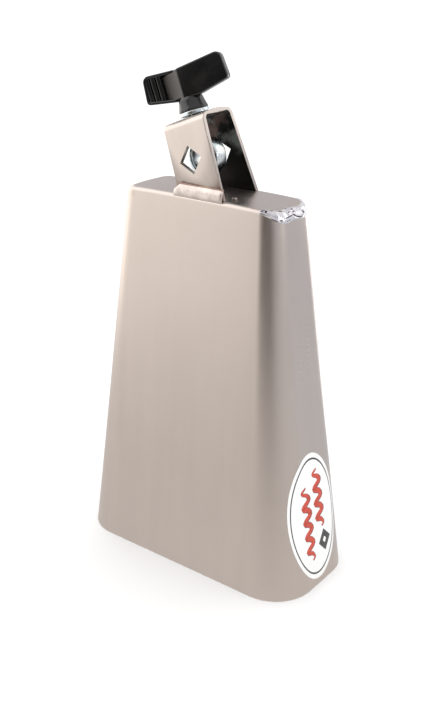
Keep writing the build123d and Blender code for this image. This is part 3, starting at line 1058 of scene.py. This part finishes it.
def stroke(mesh, path, width, low, high, material):
    """A brushed line on the label, as wide as its brush in the middle and thinning to both ends."""
    loops = []
    for i, (x, y) in enumerate(path):
        ahead, back = path[min(i + 1, len(path) - 1)], path[max(i - 1, 0)]
        sideways = Vector((back[1] - ahead[1], ahead[0] - back[0])).normalized()
        thin = min(1, 0.3 + 4 * min(i, len(path) - 1 - i) / len(path))
        reach = sideways * (width / 2 * thin)
        left, right = (x - reach.x, y - reach.y), (x + reach.x, y + reach.y)
        corners = ((left, low), (left, high), (right, high), (right, low))
        loops.append([on_label(*edge, lift) for edge, lift in corners])
    skin(mesh, loops, material=material)


def wave(across, low, high, reach, turns):
    """The path of a wavy line that climbs the label."""
    steps = 14 * turns
    path = []
    for i in range(steps + 1):
        share = i / steps
        swing = sin(2 * pi * turns * share) + 0.25 * sin(4 * pi * turns * share + 0.8)
        path.append(((across + reach * swing) * MM, mix(low, high, share) * MM))
    return path


def diamond(mesh, across, up, half_width, half_height, low, high, material):
    corners = ((half_width, 0), (0, half_height), (-half_width, 0), (0, -half_height))
    rings = []
    for share in (0.1, 0.5, 1.0):
        rings.append([((across + x * share) * MM, (up + y * share) * MM) for x, y in corners])
    film(mesh, rings, low, high, material)


def label():
    """White oval film with a thin dark line inside its edge, two orange waves and a dark diamond."""
    mesh = bmesh.new()
    film(mesh, [oval(share) for share in (0.04, 0.2, 0.4, 0.6, 0.8, 0.92, 1.0)], FILM_LOW, FILM, 0)
    edges = ((LINE_INSIDE, FILM), (LINE_INSIDE, INK), (LINE_OUTSIDE, INK), (LINE_OUTSIDE, FILM))
    band = [[on_label(x, y, lift) for x, y in oval(share)] for share, lift in edges]
    skin(mesh, band + [band[0]], capped=False, material=2)
    for across, low, high, turns in WAVES:
        path = wave(across, low, high, 2.7, turns)
        shadow = [(x + SHADOW_SHIFT, y - SHADOW_SHIFT) for x, y in path]
        stroke(mesh, shadow, SHADOW_WIDTH, FILM, INK, 3)
        stroke(mesh, path, STROKE_WIDTH, FILM, TOP_INK, 1)
    diamond(mesh, 7.2, -17.5, 5.5, 6.6, FILM, INK, 2)
    diamond(mesh, 7.2, -17.5, 1.6, 2.0, FILM, TOP_INK, 0)
    inks = (VINYL, RED_INK, DARK_INK, RIM_INK)
    piece("side_label", mesh, "bell", ["oval_label"], "white_vinyl", *inks, sharp=30)


def stamped_marks():
    """Two faint rows of pressed dashes up the right narrow side, instead of any lettering."""
    mesh = bmesh.new()
    for along, low, count in DASH_ROWS:
        dashes = bar_row(
            Count=count,
            Pitch=2.9 * MM,
            Length=3.6 * MM,
            Width=0.55 * MM,
            Height=0.5 * MM,
            Rounding=0.2 * MM,
            Shortest=0.35,
            Material=WALL_STEEL,
        )
        foot, head = side_point(along, low), side_point(along, low + 10 * MM)
        climb = (head - foot).normalized()
        sideways = Vector((0, 1, 0))
        outward = sideways.cross(climb)
        turn = Matrix((climb, outward, sideways)).transposed().to_4x4()
        add(mesh, dashes, Matrix.Translation(foot - outward * DASH_SINK) @ turn)
    piece("stamped_dashes", mesh, "bell", [], "bell_steel", WALL_STEEL, sharp=50)


# --------------------------------------------------------------- the studio


LAMP_LEVEL = 8.0
SKY_LEVEL = 1.35
TENT_RADIUS, TENT_LIFT = 0.95, 0.6 * MM
# What the polished parts mirror, by direction round the bell. Degrees run from the front wide face (0)
# to the right narrow side (90); colours are light levels, and LAMP_LEVEL is the brightest.
AROUND = (
    (-180, (0.74, 0.74, 0.77)),
    (-132, (0.70, 0.70, 0.73)),
    (-115, (1.60, 1.56, 1.52)),
    (-84, (2.20, 2.10, 2.00)),
    (-68, (1.38, 1.34, 1.30)),
    (-44, (1.30, 1.27, 1.24)),
    (-27, (1.34, 1.31, 1.28)),
    (-12, (0.30, 0.28, 0.26)),
    (-2, (0.10, 0.09, 0.085)),
    (38, (0.10, 0.09, 0.09)),
    (54, (0.50, 0.50, 0.53)),
    (74, (0.66, 0.68, 0.72)),
    (142, (0.67, 0.70, 0.76)),
    (180, (0.74, 0.74, 0.77)),
)
OVERHEAD = (0.80, 0.80, 0.82)
NEAR_FLOOR, NEAR_BACK = (0.81, 0.795, 0.785), (0.75, 0.78, 0.82)
# Softboxes: direction, the cosines where each starts and is full, and its level.
SOFTBOXES = (
    (Vector((-0.56, -0.39, 0.73)), 0.84, 0.95, 1.9),
    (Vector((0.385, 0.731, 0.562)), 0.93, 0.98, 1.5),
    (Vector((0.877, 0.171, 0.45)), 0.994, 0.997, 8.0),
    (Vector((0.03, 0.98, 0.12)), 0.988, 0.995, 5.0),
)


def tent_finish(name):
    """Light levels of the reflection tent: by direction, by distance along the floor, and softboxes."""
    lamp = {"Base Color": colour(0, 0, 0), "Roughness": 1.0, "Specular IOR Level": 0.0}
    finish = Finish(name, {**lamp, "Emission Strength": LAMP_LEVEL})
    x, y, z = [finish.along(axis) for axis in range(3)]
    turn = x.maths("ARCTAN2", x, 0 - y) / (2 * pi) + 0.5
    stops = [((angle + 180) / 360, [level / LAMP_LEVEL for level in levels]) for angle, levels in AROUND]
    round_about = finish.node("ShaderNodeValToRGB", {"stops": stops}, {0: turn})
    here = finish.node("ShaderNodeTexCoord", {}, {}, "Object")
    distance = finish.node("ShaderNodeVectorMath", {"operation": "LENGTH"}, {0: here}, "Value")
    rise = finish.between(z / distance, 0.5, 0.8)
    regions = (OVERHEAD, NEAR_FLOOR, NEAR_BACK)
    lit = [colour(*[level / LAMP_LEVEL for level in levels]) for levels in regions]
    overhead, near_floor, near_back = lit
    near = finish.blend(finish.between(y / distance, 0.2, 0.7), near_floor, near_back)
    level = finish.blend(rise, round_about, overhead)
    level = finish.blend(finish.between(distance, 0.3, 0.9), near, level)
    facing = finish.node("ShaderNodeVectorMath", {"operation": "NORMALIZE"}, {0: here})
    for direction, rim, full, power in SOFTBOXES:
        sights = {0: facing, 1: direction.normalized()}
        aim = finish.node("ShaderNodeVectorMath", {"operation": "DOT_PRODUCT"}, sights, "Value")
        glow = power / LAMP_LEVEL
        level = finish.blend(finish.between(aim, rim, full), level, colour(glow, glow, glow))
    finish.set("Emission Color", level)
    finish.material.cycles.emission_sampling = "NONE"
    return finish.material


def stage_piece(name, mesh, material):
    data = bpy.data.meshes.new(name)
    mesh.to_mesh(data)
    mesh.free()
    data.materials.append(material)
    made = bpy.data.objects.new(name, data)
    bpy.context.scene.collection.objects.link(made)
    return made


def studio():
    """Overexposed pale floor under an even white sky, and a tent that only reflections see."""
    floor = bmesh.new()
    bmesh.ops.create_grid(floor, x_segments=1, y_segments=1, size=12)
    stage_piece("floor", floor, floor_finish("pale floor"))

    tent = bmesh.new()
    section = [(1 * MM, TENT_LIFT)]
    for step in range(24):
        climb = step * pi / 48
        section.append((TENT_RADIUS * cos(climb), TENT_LIFT + TENT_RADIUS * sin(climb)))
    lathe(tent, section, Matrix.Identity(4), 72)
    shade = stage_piece("reflection_tent", tent, tent_finish("reflection tent"))
    for ray in ("camera", "diffuse", "transmission", "volume_scatter", "shadow"):
        setattr(shade, "visible_" + ray, False)

    world = bpy.data.worlds.new("even sky")
    bpy.context.scene.world = world
    world.use_nodes = True
    sky = world.node_tree.nodes["Background"].inputs
    sky["Color"].default_value = colour(1, 1, 1)
    sky["Strength"].default_value = SKY_LEVEL
    bpy.context.scene.view_settings.view_transform = "Standard"


CAMERA_AZIMUTH, CAMERA_ELEVATION, CAMERA_DISTANCE = radians(37.57), radians(22.69), 531.1 * MM
AIM_ACROSS, AIM_HEIGHT, FOCAL_LENGTH = 1.08 * MM, 115.94 * MM, 50.9


def camera():
    """Looks down on the bell's front right corner."""
    azimuth, elevation = CAMERA_AZIMUTH, CAMERA_ELEVATION
    across = Vector((cos(azimuth), sin(azimuth), 0))
    target = across * AIM_ACROSS + UP * AIM_HEIGHT
    away = Vector((sin(azimuth) * cos(elevation), -cos(azimuth) * cos(elevation), sin(elevation)))
    lens = bpy.data.cameras.new("camera")
    lens.lens = FOCAL_LENGTH
    lens.clip_start = 0.01
    made = bpy.data.objects.new("camera", lens)
    made.location = target + away * CAMERA_DISTANCE
    made.rotation_euler = (-away).to_track_quat("-Z", "Y").to_euler()
    bpy.context.scene.collection.objects.link(made)
    bpy.context.scene.camera = made


camera()
studio()
bell()
welds()
strap()
eye_bolt()
washer()
wing_nut()
insert_materials = frame["nodes"]["thread_insert"].data.materials
insert_materials.clear()
insert_materials.append(SLEEVE_STEEL)
label()
stamped_marks()
